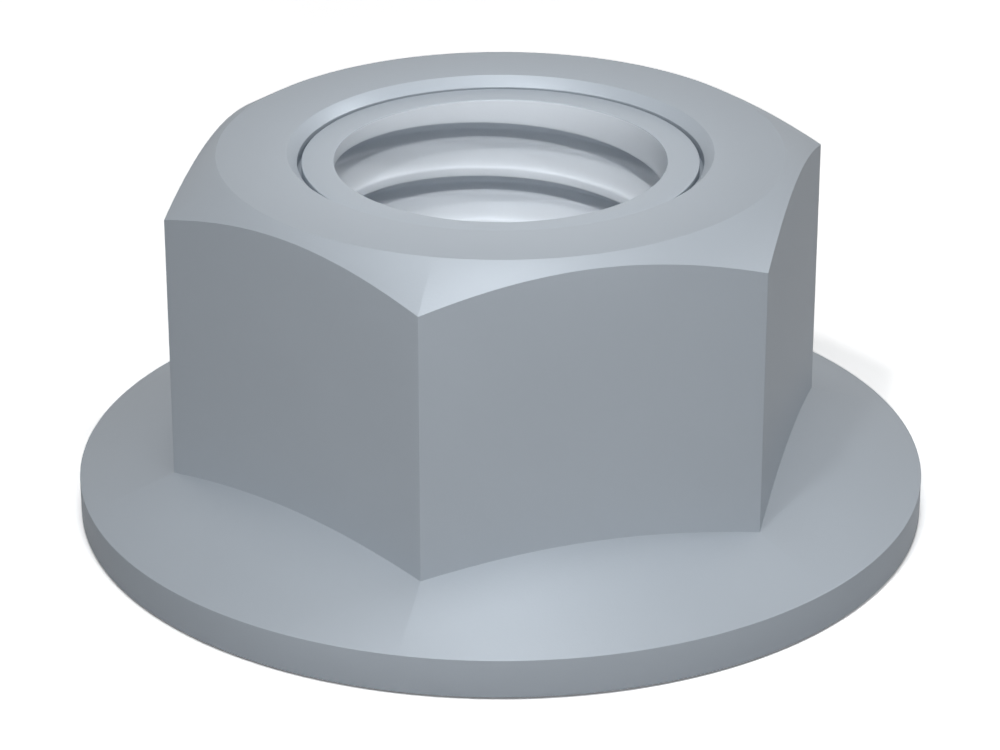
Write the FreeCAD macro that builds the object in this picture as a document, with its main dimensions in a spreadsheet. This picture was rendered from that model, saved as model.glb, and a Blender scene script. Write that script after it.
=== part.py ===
import FreeCAD, Part
import Sketcher
import os

# A serrated flange nut in one piece: a hexagon on a round sloping flange, with a tapped bore up
# the middle and ratchet teeth under the flange. The origin is at the middle of the bearing face
# and +Z runs up the bore, so the nut stands on the crests of its teeth.

# Driving dimensions: millimetres, and degrees above the horizontal for the slopes.
SIZES = [
    ("across_flats", 15.0, "hexagon, between opposite flats"),
    ("total_height", 9.64, "from the tooth crests to the top face"),
    ("bevel_run", 0.36, "from a flat in to the edge of the round top face"),
    ("bevel_slope", 30.0, "cone that takes off the six top corners"),
    ("flange_diameter", 21.8, "over the upright rim"),
    ("rim_height", 0.99, "upright rim, between its two edges"),
    ("rim_lift", 0.06, "rim's lower edge above the tooth crests"),
    ("relief_width", 0.9, "band under the rim that rises clear of the bearing face"),
    ("flange_slope", 19.6, "upper side of the flange"),
    ("thread_diameter", 10.0, "major diameter of the thread"),
    ("thread_pitch", 1.5, "height of one turn of the thread"),
    ("mouth_margin", 0.36, "countersink's edge outside the thread's major radius"),
    ("countersink_slope", 45.0, "countersinks at both ends of the bore"),
    ("collar_drop", 0.26, "threaded collar's flat end below the top face"),
    ("collar_gap", 0.11, "width of the groove round the collar"),
    ("collar_gap_depth", 0.3, "groove's floor below the collar's flat end"),
    ("tooth_count", 24, "teeth round the bearing face"),
    ("tooth_depth", 0.35, "notch between two teeth, at its outer end"),
    ("notch_overrun", 0.15, "notch's outer end beyond the edge of the bearing face"),
    ("land_width", 0.6, "flat crest of a tooth, at its outer end"),
]

HEXAGON_SIDES = 6
HALF_SIDE_ANGLE = 30
FULL_TURN = 360
# Height of a metric thread's profile between minor and major diameter, in pitches.
THREAD_HEIGHT_IN_PITCHES = 1.082532
# Room by which cutting tools stand outside the surface that they cut.
TOOL_MARGIN = 0.5

# Places worked out from the driving dimensions.
TOP = "Sizes.total_height"
CORNER_CIRCLE = f"(Sizes.across_flats / cos({HALF_SIDE_ANGLE}))"
TOP_FACE_RADIUS = "(Sizes.across_flats / 2 - Sizes.bevel_run)"
BEVEL_OUTSIDE = f"({CORNER_CIRCLE} / 2 + {TOOL_MARGIN})"
FLANGE_RADIUS = "(Sizes.flange_diameter / 2)"
BEARING_RADIUS = f"({FLANGE_RADIUS} - Sizes.relief_width)"
RIM_TOP = "(Sizes.rim_lift + Sizes.rim_height)"
THREAD_RADIUS = "(Sizes.thread_diameter / 2)"
BORE_RADIUS = f"({THREAD_RADIUS} - {THREAD_HEIGHT_IN_PITCHES} * Sizes.thread_pitch / 2)"
MOUTH_RADIUS = f"({THREAD_RADIUS} + Sizes.mouth_margin)"
GROOVE_RADIUS = f"({THREAD_RADIUS} + Sizes.collar_gap)"
COLLAR_TOP = f"({TOP} - Sizes.collar_drop)"
COUNTERSINK = "tan(Sizes.countersink_slope)"
NOTCH_START = f"(({MOUTH_RADIUS} + {BORE_RADIUS}) / 2)"
NOTCH_END = f"({BEARING_RADIUS} + Sizes.notch_overrun)"


def make_sizes(document):
    """The sheet of driving dimensions, one row for each: name, value and what it measures."""
    sheet = document.addObject("Spreadsheet::Sheet", "Sizes")
    for row, (name, value, meaning) in enumerate(SIZES, start=1):
        sheet.set(f"A{row}", name)
        sheet.set(f"B{row}", str(value))
        sheet.set(f"C{row}", meaning)
        sheet.setAlias(f"B{row}", name)
    document.recompute()
    return sheet


def origin_feature(body, role):
    """One of the body's own origin planes or axes."""
    for feature in body.Origin.OriginFeatures:
        if feature.Role == role:
            return feature
    raise RuntimeError(f"{body.Label} has no {role}")


def new_sketch(body, name, plane):
    """An empty sketch that lies in one of the body's origin planes."""
    sketch = body.newObject("Sketcher::SketchObject", name)
    sketch.AttachmentSupport = [(origin_feature(body, plane), "")]
    sketch.MapMode = "FlatFace"
    return sketch


def add_closed_lines(sketch, points):
    """Straight lines from each point to the next and back to the first."""
    for number, start in enumerate(points):
        end = points[(number + 1) % len(points)]
        sketch.addGeometry(Part.LineSegment(start, end), False)
    for number in range(len(points)):
        following = (number + 1) % len(points)
        sketch.addConstraint(Sketcher.Constraint("Coincident", number, 2, following, 1))


def bind_distance(sketch, kind, line, value, expression):
    """Ties the start of a line to its distance from the origin along one axis."""
    ends = (-1, 1, line, 1) if value > 0 else (line, 1, -1, 1)
    bound = expression if value > 0 else f"-({expression})"
    index = sketch.addConstraint(Sketcher.Constraint(kind, *ends, abs(value)))
    sketch.setExpression(f"Constraints[{index}]", bound)


def outline(body, name, plane, corners):
    """A closed outline of straight lines, each corner a pair of expressions of the sizes."""
    sketch = new_sketch(body, name, plane)
    places = []
    for across, along in corners:
        places.append((float(sketch.evalExpression(across)), float(sketch.evalExpression(along))))
    add_closed_lines(sketch, [FreeCAD.Vector(x, y, 0) for x, y in places])
    axes = (("DistanceX", -2), ("DistanceY", -1))
    for line, (place, corner) in enumerate(zip(places, corners)):
        for (kind, axis), value, expression in zip(axes, place, corner):
            if value == 0:
                sketch.addConstraint(Sketcher.Constraint("PointOnObject", line, 1, axis))
            else:
                bind_distance(sketch, kind, line, value, expression)
    return sketch


def hexagon_sketch(body, name):
    """A regular hexagon about the origin with a corner on +X, in the body's horizontal plane."""
    sketch = new_sketch(body, name, "XY_Plane")
    radius = float(sketch.evalExpression(CORNER_CIRCLE)) / 2
    corner = FreeCAD.Vector(radius, 0, 0)
    turn = FreeCAD.Rotation(FreeCAD.Vector(0, 0, 1), FULL_TURN / HEXAGON_SIDES)
    corners = []
    for _ in range(HEXAGON_SIDES):
        corners.append(corner)
        corner = turn.multVec(corner)
    add_closed_lines(sketch, corners)
    circle = Part.Circle(FreeCAD.Vector(0, 0, 0), FreeCAD.Vector(0, 0, 1), radius)
    corner_circle = sketch.addGeometry(circle, True)
    sketch.addConstraint(Sketcher.Constraint("Coincident", corner_circle, 3, -1, 1))
    for side in range(HEXAGON_SIDES):
        sketch.addConstraint(Sketcher.Constraint("PointOnObject", side, 1, corner_circle))
    for side in range(1, HEXAGON_SIDES):
        sketch.addConstraint(Sketcher.Constraint("Equal", 0, side))
    sketch.addConstraint(Sketcher.Constraint("PointOnObject", 0, 1, -1))
    index = sketch.addConstraint(Sketcher.Constraint("Diameter", corner_circle, 2 * radius))
    sketch.setExpression(f"Constraints[{index}]", CORNER_CIRCLE)
    return sketch


def finish_feature(body, feature, change):
    """Makes the feature the body's last one and checks that it added or took away material."""
    before = body.Shape.Volume if body.Shape.Solids else 0.0
    body.Tip = feature
    body.Document.recompute()
    difference = body.Shape.Volume - before
    if difference * change <= 0:
        raise RuntimeError(f"{feature.Label} changed the volume by {difference:.4f} mm3")
    return feature


def turned(body, kind, name, sketch, change):
    """A full turn of an outline about the bore's axis."""
    feature = body.newObject(kind, name)
    feature.Profile = sketch
    feature.ReferenceAxis = (sketch, ["V_Axis"])
    feature.Angle = FULL_TURN
    return finish_feature(body, feature, change)


def make_hexagon(body):
    """The hexagonal body, from the bearing face to the top face."""
    pad = body.newObject("PartDesign::Pad", "hexagon")
    pad.Profile = hexagon_sketch(body, "hexagon_outline")
    pad.setExpression("Length", TOP)
    return finish_feature(body, pad, 1)


def make_flange(body):
    """The round flange: flat bearing face, relieved band, upright rim and sloping upper side."""
    rise = f"({FLANGE_RADIUS} - {MOUTH_RADIUS}) * tan(Sizes.flange_slope)"
    corners = [
        (MOUTH_RADIUS, "0"),
        (BEARING_RADIUS, "0"),
        (FLANGE_RADIUS, "Sizes.rim_lift"),
        (FLANGE_RADIUS, RIM_TOP),
        (MOUTH_RADIUS, f"{RIM_TOP} + {rise}"),
    ]
    sketch = outline(body, "flange_outline", "XZ_Plane", corners)
    return turned(body, "PartDesign::Revolution", "flange", sketch, 1)


def make_bevel(body):
    """The cone that rounds off the six top corners and leaves the top face a circle."""
    drop = f"({BEVEL_OUTSIDE} - {TOP_FACE_RADIUS}) * tan(Sizes.bevel_slope)"
    corners = [
        (TOP_FACE_RADIUS, TOP),
        (BEVEL_OUTSIDE, f"{TOP} - {drop}"),
        (BEVEL_OUTSIDE, TOP),
    ]
    sketch = outline(body, "bevel_outline", "XZ_Plane", corners)
    return turned(body, "PartDesign::Groove", "bevel", sketch, -1)


def make_bore(body):
    """The bore at the thread's minor diameter, with a countersink in the bearing face."""
    corners = [
        ("0", "0"),
        (MOUTH_RADIUS, "0"),
        (BORE_RADIUS, f"({MOUTH_RADIUS} - {BORE_RADIUS}) * {COUNTERSINK}"),
        (BORE_RADIUS, TOP),
        ("0", TOP),
    ]
    sketch = outline(body, "bore_outline", "XZ_Plane", corners)
    return turned(body, "PartDesign::Groove", "bore", sketch, -1)


def make_mouth(body):
    """The top mouth: countersink, narrow groove and the flat end of the threaded collar."""
    groove_floor = f"{COLLAR_TOP} - Sizes.collar_gap_depth"
    corners = [
        ("0", TOP),
        (MOUTH_RADIUS, TOP),
        (GROOVE_RADIUS, f"{TOP} - ({MOUTH_RADIUS} - {GROOVE_RADIUS}) * {COUNTERSINK}"),
        (GROOVE_RADIUS, groove_floor),
        (THREAD_RADIUS, groove_floor),
        (THREAD_RADIUS, COLLAR_TOP),
        ("0", COLLAR_TOP),
    ]
    sketch = outline(body, "mouth_outline", "XZ_Plane", corners)
    return turned(body, "PartDesign::Groove", "mouth", sketch, -1)


def notch_outline(body, half_width):
    """One notch seen along the bore. Its two sides are radial, so it narrows towards the bore."""
    inner_half = f"{half_width} * {NOTCH_START} / {NOTCH_END}"
    corners = [
        (f"-{inner_half}", f"-{NOTCH_START}"),
        (inner_half, f"-{NOTCH_START}"),
        (half_width, f"-{NOTCH_END}"),
        (f"-{half_width}", f"-{NOTCH_END}"),
    ]
    sketch = outline(body, "notch_outline", "XY_Plane", corners)
    sketch.setExpression("AttachmentOffset.Base.z", f"-{TOOL_MARGIN}")
    return sketch


def ramp_plane(body, half_width):
    """The plane of a notch's gentle ramp, tilted about the radial line at the ramp's foot."""
    foot_length = f"sqrt({half_width} ^ 2 + {NOTCH_END} ^ 2)"
    ramp_run = f"(2 * {half_width} * {NOTCH_END} / {foot_length})"
    plane = body.newObject("PartDesign::Plane", "ramp_plane")
    plane.AttachmentSupport = [(origin_feature(body, "XY_Plane"), "")]
    plane.MapMode = "FlatFace"
    plane.setExpression("AttachmentOffset.Rotation.Axis.x", f"-{half_width}")
    plane.setExpression("AttachmentOffset.Rotation.Axis.y", NOTCH_END)
    plane.setExpression("AttachmentOffset.Rotation.Axis.z", "0")
    plane.setExpression("AttachmentOffset.Rotation.Angle", f"atan(Sizes.tooth_depth / {ramp_run})")
    return plane


def make_serrations(body):
    """Ratchet notches round the bearing face, open to the countersink and closed at the rim.
    Each has a steep side that bites when the nut turns loose and a ramp that slides when it is
    tightened. Width and depth grow with the distance from the bore."""
    pitch = f"2 * {NOTCH_END} * tan({FULL_TURN} / (2 * Sizes.tooth_count))"
    half_width = f"(({pitch} - Sizes.land_width) / 2)"
    notch = body.newObject("PartDesign::Pocket", "notch")
    notch.Profile = notch_outline(body, half_width)
    notch.Type = "UpToFace"
    notch.UpToFace = (ramp_plane(body, half_width), [""])
    notch.Reversed = True
    finish_feature(body, notch, -1)
    pattern = body.newObject("PartDesign::PolarPattern", "serrations")
    pattern.Originals = [notch]
    pattern.Axis = (origin_feature(body, "Z_Axis"), [""])
    pattern.Angle = FULL_TURN
    pattern.setExpression("Occurrences", "Sizes.tooth_count")
    return finish_feature(body, pattern, -1)


def make_flange_nut(document):
    """The whole nut as one solid."""
    body = document.addObject("PartDesign::Body", "FlangeNut")
    body.Label = "flange_nut"
    make_hexagon(body)
    make_flange(body)
    make_bevel(body)
    make_bore(body)
    make_mouth(body)
    make_serrations(body)
    return body


def check_document(document, bodies):
    """Stops before anything is written if a feature failed or a sub-part isn't one sound solid."""
    for item in document.Objects:
        if "Invalid" in item.State or "Error" in item.State:
            raise RuntimeError(f"{item.Label} did not rebuild: {item.State}")
    for body in bodies:
        shape = body.Shape
        if shape.isNull() or not shape.isValid() or len(shape.Solids) != 1:
            raise RuntimeError(f"{body.Label} is not one valid solid")


def write_parts(bodies):
    """One STEP file for each sub-part, named after it."""
    os.makedirs("parts", exist_ok=True)
    for body in bodies:
        body.Shape.exportStep(f"parts/{body.Label}.step")
        box = body.Shape.BoundBox
        size = f"{box.XLength:.3f} x {box.YLength:.3f} x {box.ZLength:.3f} mm"
        print(f"{body.Label}: {size}, {body.Shape.Volume:.3f} mm3")


document = FreeCAD.newDocument("serrated_flange_nut")
make_sizes(document)
sub_parts = [make_flange_nut(document)]
document.recompute()
check_document(document, sub_parts)
write_parts(sub_parts)
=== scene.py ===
import math

import bmesh
import bpy
from bpy.props import FloatProperty, FloatVectorProperty, IntProperty, PointerProperty
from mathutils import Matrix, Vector


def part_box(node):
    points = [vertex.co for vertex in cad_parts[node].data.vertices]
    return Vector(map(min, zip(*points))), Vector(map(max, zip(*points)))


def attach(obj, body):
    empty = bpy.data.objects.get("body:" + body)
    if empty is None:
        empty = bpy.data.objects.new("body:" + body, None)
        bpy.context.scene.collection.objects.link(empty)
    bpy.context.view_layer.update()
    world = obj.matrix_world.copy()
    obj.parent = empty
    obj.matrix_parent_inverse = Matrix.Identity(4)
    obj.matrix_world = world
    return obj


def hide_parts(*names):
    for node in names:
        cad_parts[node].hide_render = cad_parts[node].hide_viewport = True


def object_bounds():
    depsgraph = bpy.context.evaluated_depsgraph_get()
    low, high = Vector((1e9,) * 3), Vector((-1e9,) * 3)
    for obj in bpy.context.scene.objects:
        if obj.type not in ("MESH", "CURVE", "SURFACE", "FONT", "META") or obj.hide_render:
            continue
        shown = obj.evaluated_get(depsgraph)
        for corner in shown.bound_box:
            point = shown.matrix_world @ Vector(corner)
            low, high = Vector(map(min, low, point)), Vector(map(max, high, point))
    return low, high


# A zinc plated serrated flange nut: hexagon, sloping flange and tapped bore in one piece. It stands
# on its tooth crests with the bore upright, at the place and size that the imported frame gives.

bl_info = {
    "name": "Serrated Flange Nut",
    "version": (1, 0, 0),
    "blender": (4, 5, 0),
    "location": "3D View > Sidebar > Flange Nut",
    "description": "Builds a zinc plated serrated flange nut and the studio that it stands in",
    "category": "Add Mesh",
}

NODE = "flange_nut"

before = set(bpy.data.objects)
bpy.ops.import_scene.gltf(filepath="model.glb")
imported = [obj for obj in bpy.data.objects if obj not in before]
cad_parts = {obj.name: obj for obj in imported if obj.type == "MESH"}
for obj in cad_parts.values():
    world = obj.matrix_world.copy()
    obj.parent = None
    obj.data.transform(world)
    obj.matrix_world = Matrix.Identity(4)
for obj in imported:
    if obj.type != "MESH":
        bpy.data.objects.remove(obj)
packed_low, packed_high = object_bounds()
nut_low, nut_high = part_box(NODE)

NUT = "zinc_flange_nut"
BODY = "root"

FULL_TURN = 2 * math.pi
HEXAGON_SIDES = 6
SECTOR = FULL_TURN / HEXAGON_SIDES
# The first notch under the flange is cut at this angle, square to a flat.
FIRST_NOTCH = -FULL_TURN / 4

# How finely curves are cut into faces.
COLUMNS_ROUND = 240
CORNER_STEPS = 6
ARC_STEPS = 3
CREST_STEPS = 3
SAME_ANGLE = 1e-6
SAME_PLACE = 3e-8
# A rounding takes at most this share of the shorter side beside it.
LONGEST_ROUNDING = 0.45

# Flat crest and flat root of the thread, as parts of one pitch, and the standard depth in pitches.
CREST_SHARE = 1 / 6
ROOT_SHARE = 5 / 24
MINOR_DEPTH_SHARE = 1.082532 / 2
# The lowest thread row stands a little inside the plain end of the lower countersink.
PLAIN_SHARE = 0.9

# Name of the attribute that holds each face corner's facing while the mesh is made.
FACING = "facing"
SHARP_ANGLE = math.radians(40)
TOOTH_ANGLE = math.radians(5)
FACING_DOWN = -0.8
# How closely the painted light keeps to the thread's crests.
CREST_LIGHT_SHARPNESS = 6
# Places of the two colours among a mix node's sockets, and of the mixed one.
MIX_COLOURS = (6, 7)
MIXED_COLOUR = 2
# How finely a pattern is broken up.
CLOUD_DETAIL = 3.0
GRAIN_DETAIL = 2.0
# Bends light less than most coats, so that the metal stays satin at a glance along it.
SATIN_IOR = 1.3

# Lamps: name, azimuth and elevation in degrees, distance and width in metres, whether it glares.
LAMPS = [
    ("top", -107.24, 89, 0.4, 0.16, True),
    ("front", -107.24, 5, 0.4, 0.05, False),
    ("side", -135.24, 57, 0.4, 0.03, True),
    ("right", 1.76, 36, 0.4, 0.08, True),
    ("rear", 72.76, 5, 0.4, 0.05, False),
    ("near", -107.24, 45, 0.03, 0.022, True),
]
# Lamps that shine into the bore: name and azimuth in degrees.
BORE_LAMPS = [
    ("bore_left", -162.24),
    ("bore", -107.24),
    ("bore_right", -52.24),
]
BORE_LAMP_ELEVATION = math.radians(41)
BORE_LAMP_DISTANCE = 0.3
BORE_LAMP_WIDTH = 0.003
FLOOR_REACH = 2.0
# The camera shows nothing nearer to it than this share of its distance.
NEAREST_SHARE = 1 / 100
# Digits that the sidebar shows after the point.
DIGITS = 5


def length_property(name, default, description):
    """A size in metres."""
    shown = {"name": name, "description": description, "precision": DIGITS}
    return FloatProperty(default=default, min=0, unit="LENGTH", **shown)


def angle_property(name, degrees, description):
    """An angle, given here in degrees."""
    radians = math.radians(degrees)
    return FloatProperty(name=name, description=description, default=radians, subtype="ANGLE")


def share_property(name, default, description):
    """A number from nought to one."""
    shown = {"name": name, "description": description, "subtype": "FACTOR"}
    return FloatProperty(default=default, min=0, max=1, **shown)


def power_property(name, default, description):
    """A lamp's power in watts."""
    shown = {"name": name, "description": description, "precision": DIGITS}
    return FloatProperty(default=default, min=0, unit="POWER", **shown)


def colour_property(name, default, description):
    """A colour, given as linear red, green and blue."""
    shown = {"name": name, "description": description, "subtype": "COLOR"}
    return FloatVectorProperty(default=default, size=len(default), min=0, max=1, **shown)


class FlangeNutSizes(bpy.types.PropertyGroup):
    """The nut's driving sizes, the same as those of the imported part."""

    across_flats: length_property("Across Flats", 0.015, "Hexagon, between opposite flats")
    total_height: length_property("Total Height", nut_high.z - nut_low.z, "From the teeth to the top face")
    bevel_run: length_property("Bevel Run", 0.00036, "From a flat in to the edge of the round top face")
    bevel_slope: angle_property("Bevel Slope", 30, "Cone that takes off the six top corners")
    flange_diameter: length_property("Flange Diameter", nut_high.x - nut_low.x, "Over the rim")
    rim_height: length_property("Rim Height", 0.00099, "Upright rim, between its two edges")
    rim_lift: length_property("Rim Lift", 0.00006, "Rim's lower edge above the tooth crests")
    relief_width: length_property("Relief Width", 0.0009, "Band under the rim that clears the bearing face")
    flange_slope: angle_property("Flange Slope", 19.6, "Upper side of the flange")
    thread_diameter: length_property("Thread Diameter", 0.01, "Major diameter of the thread")
    thread_pitch: length_property("Thread Pitch", 0.0015, "Height of one turn of the thread")
    thread_angle: angle_property("Thread Angle", 72.76, "Place round the bore of the thread height")
    thread_height: length_property("Thread Height", 0.0080971, "Highest groove's middle, at that place")
    thread_end: angle_property("Thread End", 170, "Place where the highest groove starts to run out")
    run_out: angle_property("Run-out", 50, "Stretch over which the groove runs out")
    crest_round: length_property("Crest Rounding", 0.00015, "Radius along the crest's upper edge")
    crest_edge: length_property("Crest Edge", 0.00004, "Radius along the crest's lower edge")
    root_round: length_property("Root Rounding", 0.00013, "Radius in the corners of the thread's root")
    mouth_margin: length_property("Mouth Margin", 0.00036, "Countersink's edge outside the major radius")
    countersink_slope: angle_property("Countersink Slope", 45, "Countersinks at both ends of the bore")
    collar_drop: length_property("Collar Drop", 0.00026, "Threaded collar's flat end below the top face")
    collar_gap: length_property("Collar Gap", 0.00011, "Width of the groove round the collar")
    collar_gap_depth: length_property("Collar Gap Depth", 0.0003, "Groove's floor below the collar's end")
    tooth_count: IntProperty(name="Teeth", description="Teeth under the flange", default=24, min=3)
    tooth_depth: length_property("Tooth Depth", 0.00035, "Notch between two teeth, at its outer end")
    notch_overrun: length_property("Notch Overrun", 0.00015, "Notch's outer end beyond the bearing face")
    land_width: length_property("Land Width", 0.0006, "Flat crest of a tooth, at its outer end")
    edge_round: length_property("Edge Rounding", 0.00002, "Radius of the turned edges")
    corner_round: length_property("Corner Rounding", 0.00003, "Radius of the hexagon's upright corners")
    foot_round: length_property("Foot Rounding", 0.000015, "Radius where the hexagon meets the flange")
    rim_round: length_property("Rim Rounding", 0.00002, "Radius of the rim's upper edge")


class FlangeNutFinish(bpy.types.PropertyGroup):
    """Zinc plated steel with a satin grain outside, and a tapped thread painted brighter as painted light,
    with painted shade in its roots.
    """

    light_zinc: colour_property("Light Zinc", (0.458, 0.509, 0.564), "Brighter cloud of the plating")
    dark_zinc: colour_property("Dark Zinc", (0.438, 0.487, 0.540), "Duller cloud of the plating")
    zinc_metallic: share_property("Zinc Metallic", 0.2, "How far the plating mirrors like bare metal")
    zinc_roughness: share_property("Zinc Roughness", 0.42, "Middle roughness of the satin plating")
    # The thread's two colours are painted light: both lighter than the zinc, standing in for the light that
    # the bore's walls throw on each other, with the crests lighter still as painted light and the roots
    # darker as painted shade.
    crest_painted_light: colour_property("Crest Metal", (0.715, 0.765, 0.82), "Crests of the thread, rubbed bright")
    root_painted_shade: colour_property("Root Metal", (0.585, 0.625, 0.67), "Roots of the thread, duller")
    thread_metallic: share_property("Thread Metallic", 0.05, "How far the thread mirrors like bare metal")
    thread_roughness: share_property("Thread Roughness", 0.7, "Middle roughness of the cut thread")
    cloud_share: share_property("Cloud Share", 0.15, "How far the clouds blur the thread's change of colour")
    roughness_spread: share_property("Roughness Spread", 0.06, "How far the clouds change the roughness")
    cloud_size: length_property("Cloud Size", 0.003, "Width of a cloud in the plating")
    grain_size: length_property("Grain Size", 0.00007, "Width of a grain in the plating")
    grain_depth: length_property("Grain Depth", 0.0000022, "Height of a grain in the plating")
    ring_size: length_property("Ring Size", 0.00006, "Width of a turning mark round the bore")
    ring_depth: length_property("Ring Depth", 0.0000009, "Depth of a turning mark round the bore")


class FlangeNutStudio(bpy.types.PropertyGroup):
    """Floor, lamps and camera."""

    camera_azimuth: angle_property("Camera Azimuth", -107.24, "Direction of the camera, from +X")
    camera_elevation: angle_property("Camera Elevation", 24.77, "Camera above the floor")
    camera_distance: length_property("Camera Distance", 0.09586, "From the point that the camera looks at")
    camera_height: length_property("Aim Height", 0.003387, "Height of the point that the camera looks at")
    camera_aside: length_property("Aim Aside", 0.0000155, "That point's distance left of the bore's axis")
    lens: FloatProperty(name="Lens", description="Focal length", default=133.82, min=1, unit="CAMERA")
    floor_shade: share_property("Floor Shade", 0.9, "Grey of the plain pale floor")
    floor_lift: FloatProperty(name="Floor Lift", description="Extra white seen", default=2.35, min=1)
    bounce_colour: colour_property("Floor Bounce", (0.25, 0.25, 0.26), "Light sent up to the nut")
    floor_glow: share_property("Floor Glow", 0.07, "What the floor shows on top of the lamps' light")
    sky_colour: colour_property("Sky", (1, 1, 1), "Background behind the floor")
    top_power: power_property("Top Lamp", 0.335, "Soft lamp straight above")
    front_power: power_property("Front Lamp", 0.47, "Low lamp below the camera")
    side_power: power_property("Side Lamp", 0.24, "Small lamp at the front left, for the shadow")
    right_power: power_property("Right Lamp", 0.285, "Soft lamp on the right")
    rear_power: power_property("Rear Lamp", 0.13, "Low soft lamp behind the nut, without glare")
    near_power: power_property("Near Lamp", 0.0019, "Small lamp close to the nut's front")
    bore_power: power_property("Bore Lamp", 2.2, "Beam into the bore from the front")
    bore_left_power: power_property("Bore Left Lamp", 0.7, "Beam into the bore from the left")
    bore_right_power: power_property("Bore Right Lamp", 0.7, "Beam into the bore from the right")


class Form:
    """Radii and heights of the nut, worked out from its sizes."""

    def __init__(self, sizes):
        self.sizes = sizes
        self.top = sizes.total_height
        self.apothem = sizes.across_flats / 2
        self.top_face_radius = self.apothem - sizes.bevel_run
        self.flange_radius = sizes.flange_diameter / 2
        self.bearing_radius = self.flange_radius - sizes.relief_width
        self.rim_top = sizes.rim_lift + sizes.rim_height
        self.thread_radius = sizes.thread_diameter / 2
        self.bore_radius = self.thread_radius - MINOR_DEPTH_SHARE * sizes.thread_pitch
        self.mouth_radius = self.thread_radius + sizes.mouth_margin
        self.countersink = math.tan(sizes.countersink_slope)
        self.collar_top = self.top - sizes.collar_drop
        self.groove_radius = self.thread_radius + sizes.collar_gap
        self.groove_floor = self.collar_top - sizes.collar_gap_depth
        self.groove_lip = self.top - (sizes.mouth_margin - sizes.collar_gap) * self.countersink
        self.thread_low = PLAIN_SHARE * sizes.mouth_margin * self.countersink
        self.thread_high = self.collar_top - 2 * sizes.edge_round
        self.shape_notches()

    def shape_notches(self):
        """A notch's sides are radial. Its ramp climbs from the foot to a steep, upright side."""
        sizes = self.sizes
        self.notch_pitch = FULL_TURN / sizes.tooth_count
        self.notch_end = self.bearing_radius + sizes.notch_overrun
        half_width = self.notch_end * math.tan(self.notch_pitch / 2) - sizes.land_width / 2
        self.notch_half = math.atan(half_width / self.notch_end)
        ramp_run = 2 * half_width * math.cos(self.notch_half)
        self.ramp_rise = sizes.tooth_depth / ramp_run
        self.steepest = self.ramp_rise * math.sin(2 * self.notch_half)

    def notch_offset(self, angle):
        """Angle from the middle of the nearest notch."""
        turned = angle - FIRST_NOTCH
        return turned - self.notch_pitch * round(turned / self.notch_pitch)

    def ramp(self, offset):
        """Height of a notch's ramp for its distance from the axis, nought on the tooth crests."""
        if abs(offset) > self.notch_half - SAME_ANGLE:
            return 0.0
        return self.ramp_rise * math.sin(self.notch_half - offset)

    def hexagon_radius(self, angle):
        """The hexagon's outline, with a corner on +X and each corner rounded."""
        from_flat = abs(angle % SECTOR - SECTOR / 2)
        rounding = self.sizes.corner_round
        inner = self.apothem - rounding
        if from_flat <= math.atan(inner * math.tan(SECTOR / 2) / self.apothem):
            return self.apothem / math.cos(from_flat)
        centre = inner / math.cos(SECTOR / 2)
        aside = SECTOR / 2 - from_flat
        return centre * math.cos(aside) + math.sqrt(rounding**2 - (centre * math.sin(aside)) ** 2)

    def hexagon_facing(self, angle):
        """The direction that the hexagon's side faces at an angle, turning quickly at each corner."""
        corner = SECTOR * round(angle / SECTOR)
        aside = angle - corner
        centre = (self.apothem - self.sizes.corner_round) / math.cos(SECTOR / 2)
        reach = centre * math.sin(aside) / self.sizes.corner_round
        lean = aside + math.asin(min(max(reach, -1), 1))
        return corner + min(max(lean, -SECTOR / 2), SECTOR / 2)

    def corner_angles(self):
        """Angles from a corner at which its rounding is cut into faces."""
        centre = (self.apothem - self.sizes.corner_round) / math.cos(SECTOR / 2)
        for step in range(CORNER_STEPS + 1):
            lean = SECTOR * (step / CORNER_STEPS - 1 / 2)
            reach = self.sizes.corner_round
            yield math.atan2(reach * math.sin(lean), centre + reach * math.cos(lean))


def column_list(form):
    """Columns of faces round the nut as (angle, ramp). A notch's steep side has two columns."""
    steep_sides = []
    angles = [FULL_TURN * step / COLUMNS_ROUND for step in range(COLUMNS_ROUND)]
    for side in range(HEXAGON_SIDES):
        angles += [side * SECTOR + offset for offset in form.corner_angles()]
    for notch in range(form.sizes.tooth_count):
        middle = FIRST_NOTCH + notch * form.notch_pitch
        steep_sides.append((middle - form.notch_half) % FULL_TURN)
        angles.append(middle + form.notch_half)
    columns = []
    for angle in sorted(angle % FULL_TURN for angle in angles + steep_sides):
        if columns and angle - columns[-1][0] < SAME_ANGLE:
            continue
        if any(abs(angle - side) < SAME_ANGLE for side in steep_sides):
            columns.append((angle, 0.0))
            columns.append((angle, form.steepest))
        else:
            columns.append((angle, form.ramp(form.notch_offset(angle))))
    first_angle, first_ramp = columns[0]
    columns.append((first_angle + FULL_TURN, first_ramp))
    return columns


def square_to(run):
    """The outward facing of a stretch of a half section."""
    return Vector((-run.y, run.x)).normalized()


class Spot:
    """A point of a half section. An outward facing goes with it on a rounding, and a turn from nought
    on round faces to one on the hexagon's flats."""

    def __init__(self, place, facing=None, turn=0.0):
        self.place = place
        self.facing = facing
        self.turn = turn


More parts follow.
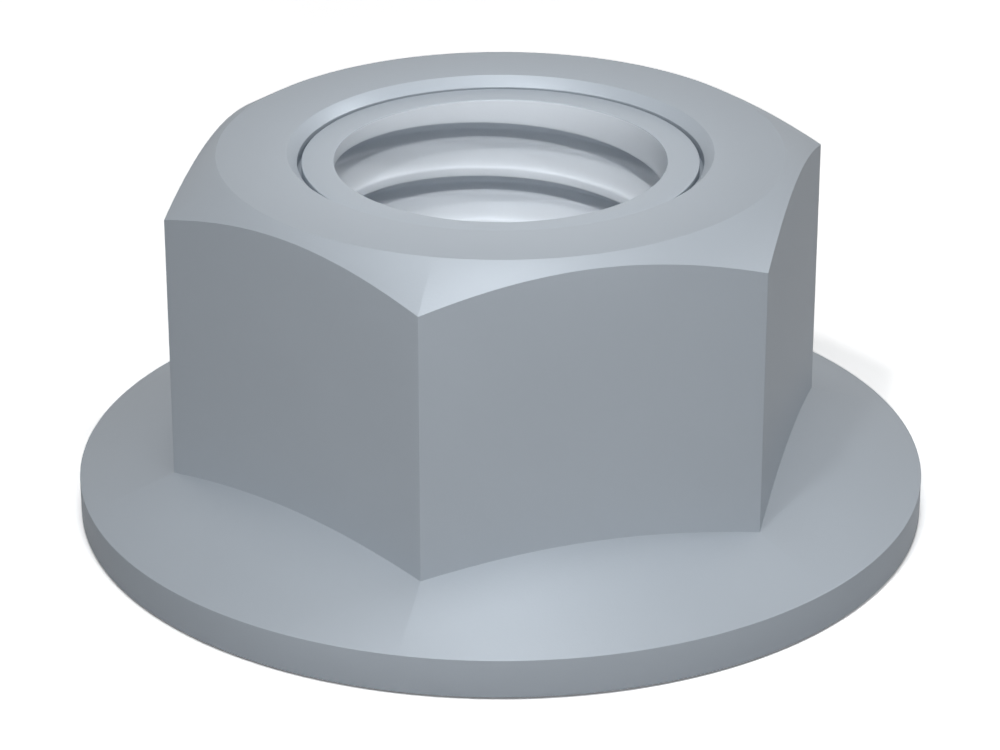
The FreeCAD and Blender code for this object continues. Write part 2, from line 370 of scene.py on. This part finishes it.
def rounded(corners):
    """The spots through corners (radius, height, rounding, turn before, turn after), each rounding cut
    into short steps."""
    places = [Vector((radius, height)) for radius, height, *rest in corners]
    line = []
    for index, (radius, height, rounding, *turns) in enumerate(corners):
        corner = places[index]
        if not rounding:
            line.append(Spot(corner))
            continue
        first_turn, last_turn = turns or (0.0, 0.0)
        before = places[index - 1] - corner
        after = places[(index + 1) % len(places)] - corner
        half = before.angle(after) / 2
        reach = min(rounding / math.tan(half), LONGEST_ROUNDING * min(before.length, after.length))
        start = before.normalized() * reach
        end = after.normalized() * reach
        centre = (start + end).normalized() * reach / math.cos(half)
        start_turn = math.atan2(start.y - centre.y, start.x - centre.x)
        end_turn = math.atan2(end.y - centre.y, end.x - centre.x)
        turn = (end_turn - start_turn + math.pi) % FULL_TURN - math.pi
        arc_radius = reach * math.tan(half)
        outward = -1 if turn > 0 else 1
        for step in range(ARC_STEPS + 1):
            share = step / ARC_STEPS
            lean = start_turn + turn * share
            spoke = Vector((math.cos(lean), math.sin(lean)))
            place = corner + centre + arc_radius * spoke
            line.append(Spot(place, outward * spoke, first_turn + (last_turn - first_turn) * share))
    return line


def body_line(form, angle, ramp):
    """Half section from the bore's upper end out over the top, down the side and in under the flange."""
    sizes = form.sizes
    edge = sizes.edge_round
    hexagon = form.hexagon_radius(angle)
    bevel_height = form.top - (hexagon - form.top_face_radius) * math.tan(sizes.bevel_slope)
    foot_height = form.rim_top + (form.flange_radius - hexagon) * math.tan(sizes.flange_slope)
    offset = min(abs(form.notch_offset(angle)), form.notch_half)
    notch_wall = form.notch_end / math.cos(offset)
    relief = sizes.rim_lift * (notch_wall - form.bearing_radius) / sizes.relief_width
    mouth = form.mouth_radius / (1 + ramp / form.countersink)
    deepest_mouth = form.mouth_radius / (1 + form.steepest / form.countersink)
    lowest_row = form.mouth_radius - form.thread_low / form.countersink
    return rounded([
        (form.bore_radius, form.thread_high, 0),
        (form.bore_radius, form.collar_top, edge),
        (form.thread_radius, form.collar_top, edge),
        (form.thread_radius, form.groove_floor, 0),
        (form.groove_radius, form.groove_floor, 0),
        (form.groove_radius, form.groove_lip, edge),
        (form.mouth_radius, form.top, edge),
        (form.top_face_radius, form.top, edge),
        (hexagon, bevel_height, edge, 0.0, 1.0),
        (hexagon, foot_height, sizes.foot_round, 1.0, 0.0),
        (form.flange_radius, form.rim_top, sizes.rim_round),
        (form.flange_radius, sizes.rim_lift, edge),
        (notch_wall, relief, 0),
        (notch_wall, max(relief, ramp * notch_wall), 0),
        (form.bearing_radius, ramp * form.bearing_radius, 0),
        (mouth, ramp * mouth, 0),
        (deepest_mouth, form.steepest * deepest_mouth, 0),
        (lowest_row, form.thread_low, 0),
    ])


def thread_cell(form):
    """One turn's groove as (height above its middle, depth), from crest to crest."""
    sizes = form.sizes
    pitch = sizes.thread_pitch
    depth = form.thread_radius - form.bore_radius
    root = ROOT_SHARE * pitch / 2
    flank = (1 - CREST_SHARE) * pitch / 2
    line = rounded([
        (0, -pitch / 2, 0),
        (0, -flank, sizes.crest_round),
        (depth, -root, sizes.root_round),
        (depth, root, sizes.root_round),
        (0, flank, sizes.crest_edge),
        (0, pitch / 2, 0),
    ])
    rows = []
    for spot, following in zip(line, line[1:]):
        run = following.place - spot.place
        steps = max(1, round(run.length / (pitch * CREST_SHARE / CREST_STEPS)))
        for step in range(steps):
            between = spot.place + run * step / steps
            facing = spot.facing if spot.facing and not step else square_to(run)
            rows.append((between.y, between.x, facing))
    return rows


def eased(share):
    """A share held between nought and one, leaving each of them gently."""
    share = min(1, max(0, share))
    return share * share * (3 - 2 * share)


def thread_line(form, angle, cell):
    """The bore's wall from the lower countersink up to the collar's end, row by row along the helix."""
    sizes = form.sizes
    pitch = sizes.thread_pitch
    start = sizes.thread_height - pitch * sizes.thread_angle / FULL_TURN
    lowest = math.floor((form.thread_low - start) / pitch) - 1
    highest = math.ceil((form.thread_high - start) / pitch)
    line = []
    for turn in range(lowest, highest + 1):
        travelled = angle + turn * FULL_TURN
        share = eased(1 - (travelled - sizes.thread_end) / sizes.run_out)
        middle = start + pitch * travelled / FULL_TURN
        for above, depth, facing in cell:
            height = min(max(middle + above, form.thread_low), form.thread_high)
            cone = form.mouth_radius - height / form.countersink
            wall = form.bore_radius + depth * share
            plain = cone < wall and height == middle + above and share == 1
            line.append(Spot(Vector((max(wall, cone), height)), facing if plain else None))
    return line


class Column:
    """One half section of the nut at an angle, with a vertex of the mesh at each of its spots."""

    def __init__(self, form, net, cell, angle, ramp):
        self.angle = angle
        self.flat = form.hexagon_facing(angle)
        self.body = body_line(form, angle, ramp)
        self.last_smooth = max(row for row, spot in enumerate(self.body) if spot.facing)
        self.thread = thread_line(form, angle, cell)
        self.lead = form.sizes.thread_pitch / FULL_TURN
        self.spots = self.body + self.thread
        self.verts = [net.verts.new(self.turned(spot.place, angle)) for spot in self.spots]

    def in_thread(self, row):
        """Whether the face above a row is part of the threaded bore's wall."""
        return row == 0 or row >= len(self.body)

    def turned(self, place, angle):
        """A place or facing of the half section, turned to an angle round the bore."""
        return Vector((place.x * math.cos(angle), place.x * math.sin(angle), place.y))

    def facing(self, row, low, high):
        """The facing at a row for the face from a low to a high row, nought where the mesh's own serves."""
        spot = self.spots[row]
        if low >= len(self.body):
            if spot.facing is None:
                return Vector()
            along_thread = Vector((-math.sin(self.angle), math.cos(self.angle), 0))
            helix = -spot.facing.y * self.lead / spot.place.x * along_thread
            return (self.turned(spot.facing, self.angle) + helix).normalized()
        if high > self.last_smooth:
            return Vector()
        facing = spot.facing or square_to(self.spots[high].place - self.spots[low].place)
        return self.turned(facing, self.angle + spot.turn * (self.flat - self.angle))


def nut_mesh(form):
    """The whole nut as one closed mesh of columns and rows."""
    net = bmesh.new()
    facing_layer = net.loops.layers.float_vector.new(FACING)
    cell = thread_cell(form)
    grid = [Column(form, net, cell, angle, ramp) for angle, ramp in column_list(form)]
    rows = len(grid[0].verts)
    for column, following in zip(grid, grid[1:]):
        for row in range(rows):
            above = (row + 1) % rows
            corners = ((column, row), (column, above), (following, above), (following, row))
            face = net.faces.new([side.verts[place] for side, place in corners])
            face.material_index = int(column.in_thread(row))
            for loop, (side, place) in zip(face.loops, corners):
                loop[facing_layer] = side.facing(place, row, above)
    bmesh.ops.remove_doubles(net, verts=net.verts, dist=SAME_PLACE)
    loose = [vert for vert in net.verts if not vert.link_faces]
    bmesh.ops.delete(net, geom=loose, context="VERTS")
    gaps = sum(1 for edge in net.edges if not edge.is_manifold)
    if gaps:
        raise RuntimeError(f"the nut's mesh is open or doubled at {gaps} edges")
    if net.calc_volume(signed=True) < 0:
        raise RuntimeError("the nut's mesh is inside out")
    for face in net.faces:
        face.smooth = True
    for edge in net.edges:
        edge.smooth = not stays_sharp(edge)
    mesh = bpy.data.meshes.new(NUT)
    net.to_mesh(mesh)
    net.free()
    facings = mesh.attributes[FACING]
    mesh.normals_split_custom_set([corner.vector for corner in facings.data])
    mesh.attributes.remove(facings)
    return mesh


def stays_sharp(edge):
    """Whether an edge is crisp: a plain corner, or the edge of a tooth under the flange."""
    bend = edge.calc_face_angle()
    under = all(face.normal.z < FACING_DOWN for face in edge.link_faces)
    return bend > SHARP_ANGLE or (under and bend > TOOTH_ANGLE)


class NodeSet:
    """Adds nodes to a tree and joins them."""

    def __init__(self, tree):
        self.tree = tree
        tree.nodes.clear()

    def add(self, kind, inputs=None, **settings):
        """A node of a kind. An input is a plain value or another node's output."""
        node = self.tree.nodes.new(kind)
        for name, value in settings.items():
            setattr(node, name, value)
        for name, value in (inputs or {}).items():
            if isinstance(value, bpy.types.NodeSocket):
                self.tree.links.new(value, node.inputs[name])
            else:
                node.inputs[name].default_value = value
        return node

    def math(self, operation, first, second=0.0):
        """The output of a sum of two numbers."""
        return self.add("ShaderNodeMath", {0: first, 1: second}, operation=operation).outputs[0]

    def noise(self, vector, size, detail):
        """A cloudy pattern whose clouds have a size."""
        inputs = {"Vector": vector, "Scale": 1 / size, "Detail": detail}
        return self.add("ShaderNodeTexNoise", inputs).outputs["Fac"]

    def range(self, value, low, high, to_low=0.0, to_high=1.0):
        """A number carried over from one range to another, and held there."""
        inputs = {"Value": value, "From Min": low, "From Max": high, "To Min": to_low, "To Max": to_high}
        return self.add("ShaderNodeMapRange", inputs).outputs["Result"]


def opaque(colour):
    """A colour with full cover."""
    return (*colour, 1.0)


def satin_metal(name, form, finish, colours, painted, metallic, roughness):
    """Metal with soft clouds, fine grain, and turning marks round the upper mouth. The clouds go between its
    two colours, or where it is painted, the colour goes from painted shade at the thread's roots to painted
    light at its crests."""
    material = bpy.data.materials.new(name)
    material.use_nodes = True
    nodes = NodeSet(material.node_tree)
    place = nodes.add("ShaderNodeTexCoord").outputs["Object"]
    parts = nodes.add("ShaderNodeSeparateXYZ", {"Vector": place}).outputs
    squares = [nodes.math("MULTIPLY", parts[axis], parts[axis]) for axis in ("X", "Y")]
    radius = nodes.math("SQRT", nodes.math("ADD", *squares))

    clouds = nodes.noise(place, finish.cloud_size, CLOUD_DETAIL)
    grain = nodes.noise(place, finish.grain_size, GRAIN_DETAIL)
    ring_place = nodes.add("ShaderNodeCombineXYZ", {"X": radius}).outputs["Vector"]
    rings = nodes.noise(ring_place, finish.ring_size, GRAIN_DETAIL)
    near_top = nodes.range(parts["Z"], form.groove_floor, form.collar_top)
    inside = nodes.range(radius, form.top_face_radius, form.apothem, 1.0, 0.0)
    turned = nodes.math("MULTIPLY", near_top, inside)

    blend = clouds
    # On the thread, painted shade at the roots goes over to painted light at the crests, blurred a little by
    # the clouds.
    if painted:
        crest = nodes.range(radius, form.thread_radius, form.bore_radius)
        crest = nodes.math("POWER", crest, CREST_LIGHT_SHARPNESS)
        crest_light_part = nodes.math("MULTIPLY", crest, 1 - finish.cloud_share)
        cloud_part = nodes.math("MULTIPLY", clouds, finish.cloud_share)
        blend = nodes.math("ADD", crest_light_part, cloud_part)
    colour = nodes.add("ShaderNodeMix", {0: blend}, data_type="RGBA")
    for socket, shade in zip(MIX_COLOURS, colours):
        colour.inputs[socket].default_value = opaque(shade)
    low = roughness - finish.roughness_spread / 2
    cloudy_roughness = nodes.range(clouds, 0.0, 1.0, low, low + finish.roughness_spread)

    ring_height = nodes.math("MULTIPLY", rings, turned)
    ring_bump = nodes.add("ShaderNodeBump", {"Height": ring_height, "Distance": finish.ring_depth})
    inputs = {"Height": grain, "Distance": finish.grain_depth, "Normal": ring_bump.outputs["Normal"]}
    grain_bump = nodes.add("ShaderNodeBump", inputs)
    shader = nodes.add("ShaderNodeBsdfPrincipled", {
        "Base Color": colour.outputs[MIXED_COLOUR],
        "Metallic": metallic,
        "Roughness": cloudy_roughness,
        "IOR": SATIN_IOR,
        "Normal": grain_bump.outputs["Normal"],
    })
    nodes.add("ShaderNodeOutputMaterial", {"Surface": shader.outputs["BSDF"]})
    return material


def nut_materials(form, finish):
    """Satin zinc plating outside, and the tapped thread painted brighter than the zinc: painted light on its
    crests and painted shade in its roots.
    """
    zinc = (finish.dark_zinc, finish.light_zinc)
    zinc_shine = (finish.zinc_metallic, finish.zinc_roughness)
    thread = (finish.root_painted_shade, finish.crest_painted_light)
    thread_shine = (finish.thread_metallic, finish.thread_roughness)
    return [
        satin_metal("satin_zinc", form, finish, zinc, False, *zinc_shine),
        satin_metal("tapped_thread", form, finish, thread, True, *thread_shine),
    ]


class FLANGENUT_OT_build_nut(bpy.types.Operator):
    """Build the nut: hexagon, sloping flange, threaded bore and serrated bearing face"""

    bl_idname = "flange_nut.build_nut"
    bl_label = "Build Nut"

    def execute(self, context):
        form = Form(context.scene.flange_nut_sizes)
        nut = bpy.data.objects.new(NUT, nut_mesh(form))
        context.scene.collection.objects.link(nut)
        for material in nut_materials(form, context.scene.flange_nut_finish):
            nut.data.materials.append(material)
        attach(nut, BODY)
        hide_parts(NODE)
        return {"FINISHED"}


def direction(azimuth, elevation):
    """A unit vector from the nut, at an angle round from +X and an angle above the floor."""
    flat = math.cos(elevation)
    return Vector((flat * math.cos(azimuth), flat * math.sin(azimuth), math.sin(elevation)))


def looking_at(thing, place, target):
    """Puts a camera or lamp at a place and turns it to a target."""
    thing.location = place
    thing.rotation_euler = (target - place).to_track_quat("-Z", "Y").to_euler()


def add_camera(scene, studio):
    """The camera, with its sight line a little beside the bore's axis."""
    data = bpy.data.cameras.new("camera")
    data.lens = studio.lens
    data.clip_start = studio.camera_distance * NEAREST_SHARE
    camera = bpy.data.objects.new("camera", data)
    scene.collection.objects.link(camera)
    back = direction(studio.camera_azimuth, studio.camera_elevation)
    right = Vector((0, 0, 1)).cross(back).normalized()
    target = Vector((0, 0, studio.camera_height)) - right * studio.camera_aside
    looking_at(camera, target + back * studio.camera_distance, target)
    scene.camera = camera


def add_lamp(scene, name, kind, target, place):
    """A lamp that looks at a target from a place given from it, and doesn't show itself."""
    lamp = bpy.data.objects.new(f"{name}_lamp", bpy.data.lights.new(f"{name}_lamp", kind))
    lamp.data.energy = getattr(scene.flange_nut_studio, f"{name}_power")
    lamp.visible_camera = False
    scene.collection.objects.link(lamp)
    looking_at(lamp, target + place, target)
    return lamp


def add_lamps(scene):
    """Soft lamps round the nut, and lamps whose beams are as wide as the bore's upper end."""
    middle = (packed_low + packed_high) / 2
    for name, azimuth, elevation, distance, width, glares in LAMPS:
        place = direction(math.radians(azimuth), math.radians(elevation)) * distance
        lamp = add_lamp(scene, name, "AREA", middle, place)
        lamp.data.shape = "DISK"
        lamp.data.size = width
        lamp.visible_glossy = glares
    form = Form(scene.flange_nut_sizes)
    mouth = Vector((0, 0, form.collar_top))
    for name, azimuth in BORE_LAMPS:
        place = direction(math.radians(azimuth), BORE_LAMP_ELEVATION) * BORE_LAMP_DISTANCE
        lamp = add_lamp(scene, name, "SPOT", mouth, place)
        lamp.data.shadow_soft_size = BORE_LAMP_WIDTH
        lamp.data.spot_size = 2 * math.atan(form.bore_radius / BORE_LAMP_DISTANCE)
        lamp.data.spot_blend = 0
        lamp.scale.y = math.sin(BORE_LAMP_ELEVATION)


def seen_directly(nodes, path):
    """One for rays from the camera, a mirror or glass, and nought for soft light."""
    mirrored = nodes.math("MAXIMUM", path["Is Glossy Ray"], path["Is Transmission Ray"])
    return nodes.math("MAXIMUM", path["Is Camera Ray"], mirrored)


def add_sky(scene, studio):
    """A white background that shows itself and in the metal, and sends no light of its own."""
    world = bpy.data.worlds.new("studio_sky")
    world.use_nodes = True
    scene.world = world
    nodes = NodeSet(world.node_tree)
    path = nodes.add("ShaderNodeLightPath").outputs
    inputs = {"Color": opaque(studio.sky_colour), "Strength": seen_directly(nodes, path)}
    sky = nodes.add("ShaderNodeBackground", inputs)
    nodes.add("ShaderNodeOutputWorld", {"Surface": sky.outputs["Background"]})


def floor_material(studio):
    """Pale floor that shows white with the nut's shadow on it, and sends little light back up."""
    material = bpy.data.materials.new("pale_floor")
    material.use_nodes = True
    nodes = NodeSet(material.node_tree)
    path = nodes.add("ShaderNodeLightPath").outputs
    lifted = studio.floor_shade * studio.floor_lift
    shade = nodes.range(path["Is Camera Ray"], 0.0, 1.0, studio.floor_shade, lifted)
    bounce = nodes.add("ShaderNodeBsdfDiffuse", {"Color": opaque(studio.bounce_colour)})
    lit = nodes.add("ShaderNodeBsdfDiffuse", {"Color": shade})
    glow = nodes.add("ShaderNodeEmission", {"Strength": studio.floor_glow})
    shown = nodes.add("ShaderNodeAddShader", {0: lit.outputs["BSDF"], 1: glow.outputs["Emission"]})
    mixed = nodes.add("ShaderNodeMixShader", {0: seen_directly(nodes, path)})
    nodes.tree.links.new(bounce.outputs["BSDF"], mixed.inputs[1])
    nodes.tree.links.new(shown.outputs["Shader"], mixed.inputs[2])
    nodes.add("ShaderNodeOutputMaterial", {"Surface": mixed.outputs["Shader"]})
    return material


def add_floor(scene, studio):
    """A flat floor at the level of the tooth crests."""
    net = bmesh.new()
    corners = [(-1, -1), (1, -1), (1, 1), (-1, 1)]
    height = packed_low.z
    net.faces.new([net.verts.new((x * FLOOR_REACH, y * FLOOR_REACH, height)) for x, y in corners])
    mesh = bpy.data.meshes.new("floor")
    net.to_mesh(mesh)
    net.free()
    floor = bpy.data.objects.new("floor", mesh)
    scene.collection.objects.link(floor)
    floor.data.materials.append(floor_material(studio))


class FLANGENUT_OT_build_stage(bpy.types.Operator):
    """Build the stage: pale floor, soft lamps, white background and camera"""

    bl_idname = "flange_nut.build_stage"
    bl_label = "Build Stage"

    def execute(self, context):
        scene = context.scene
        studio = scene.flange_nut_studio
        add_camera(scene, studio)
        add_lamps(scene)
        add_sky(scene, studio)
        add_floor(scene, studio)
        scene.view_settings.view_transform = "Standard"
        return {"FINISHED"}


class FLANGENUT_PT_sidebar(bpy.types.Panel):
    """Sizes, finish and studio of the flange nut, with the buttons that build them"""

    bl_idname = "FLANGENUT_PT_sidebar"
    bl_label = "Flange Nut"
    bl_space_type = "VIEW_3D"
    bl_region_type = "UI"
    bl_category = "Flange Nut"

    def draw(self, context):
        scene = context.scene
        for settings in (scene.flange_nut_sizes, scene.flange_nut_finish, scene.flange_nut_studio):
            box = self.layout.box()
            for name in settings.__annotations__:
                box.prop(settings, name)
        for operator in OPERATORS:
            self.layout.operator(operator.bl_idname)


OPERATORS = (FLANGENUT_OT_build_nut, FLANGENUT_OT_build_stage)
CLASSES = (FlangeNutSizes, FlangeNutFinish, FlangeNutStudio, *OPERATORS, FLANGENUT_PT_sidebar)


def register():
    for kind in CLASSES:
        bpy.utils.register_class(kind)
    bpy.types.Scene.flange_nut_sizes = PointerProperty(type=FlangeNutSizes)
    bpy.types.Scene.flange_nut_finish = PointerProperty(type=FlangeNutFinish)
    bpy.types.Scene.flange_nut_studio = PointerProperty(type=FlangeNutStudio)


def unregister():
    del bpy.types.Scene.flange_nut_studio
    del bpy.types.Scene.flange_nut_finish
    del bpy.types.Scene.flange_nut_sizes
    for kind in reversed(CLASSES):
        bpy.utils.unregister_class(kind)


def main():
    register()
    bpy.ops.flange_nut.build_nut()
    bpy.ops.flange_nut.build_stage()


if __name__ == "__main__":
    main()
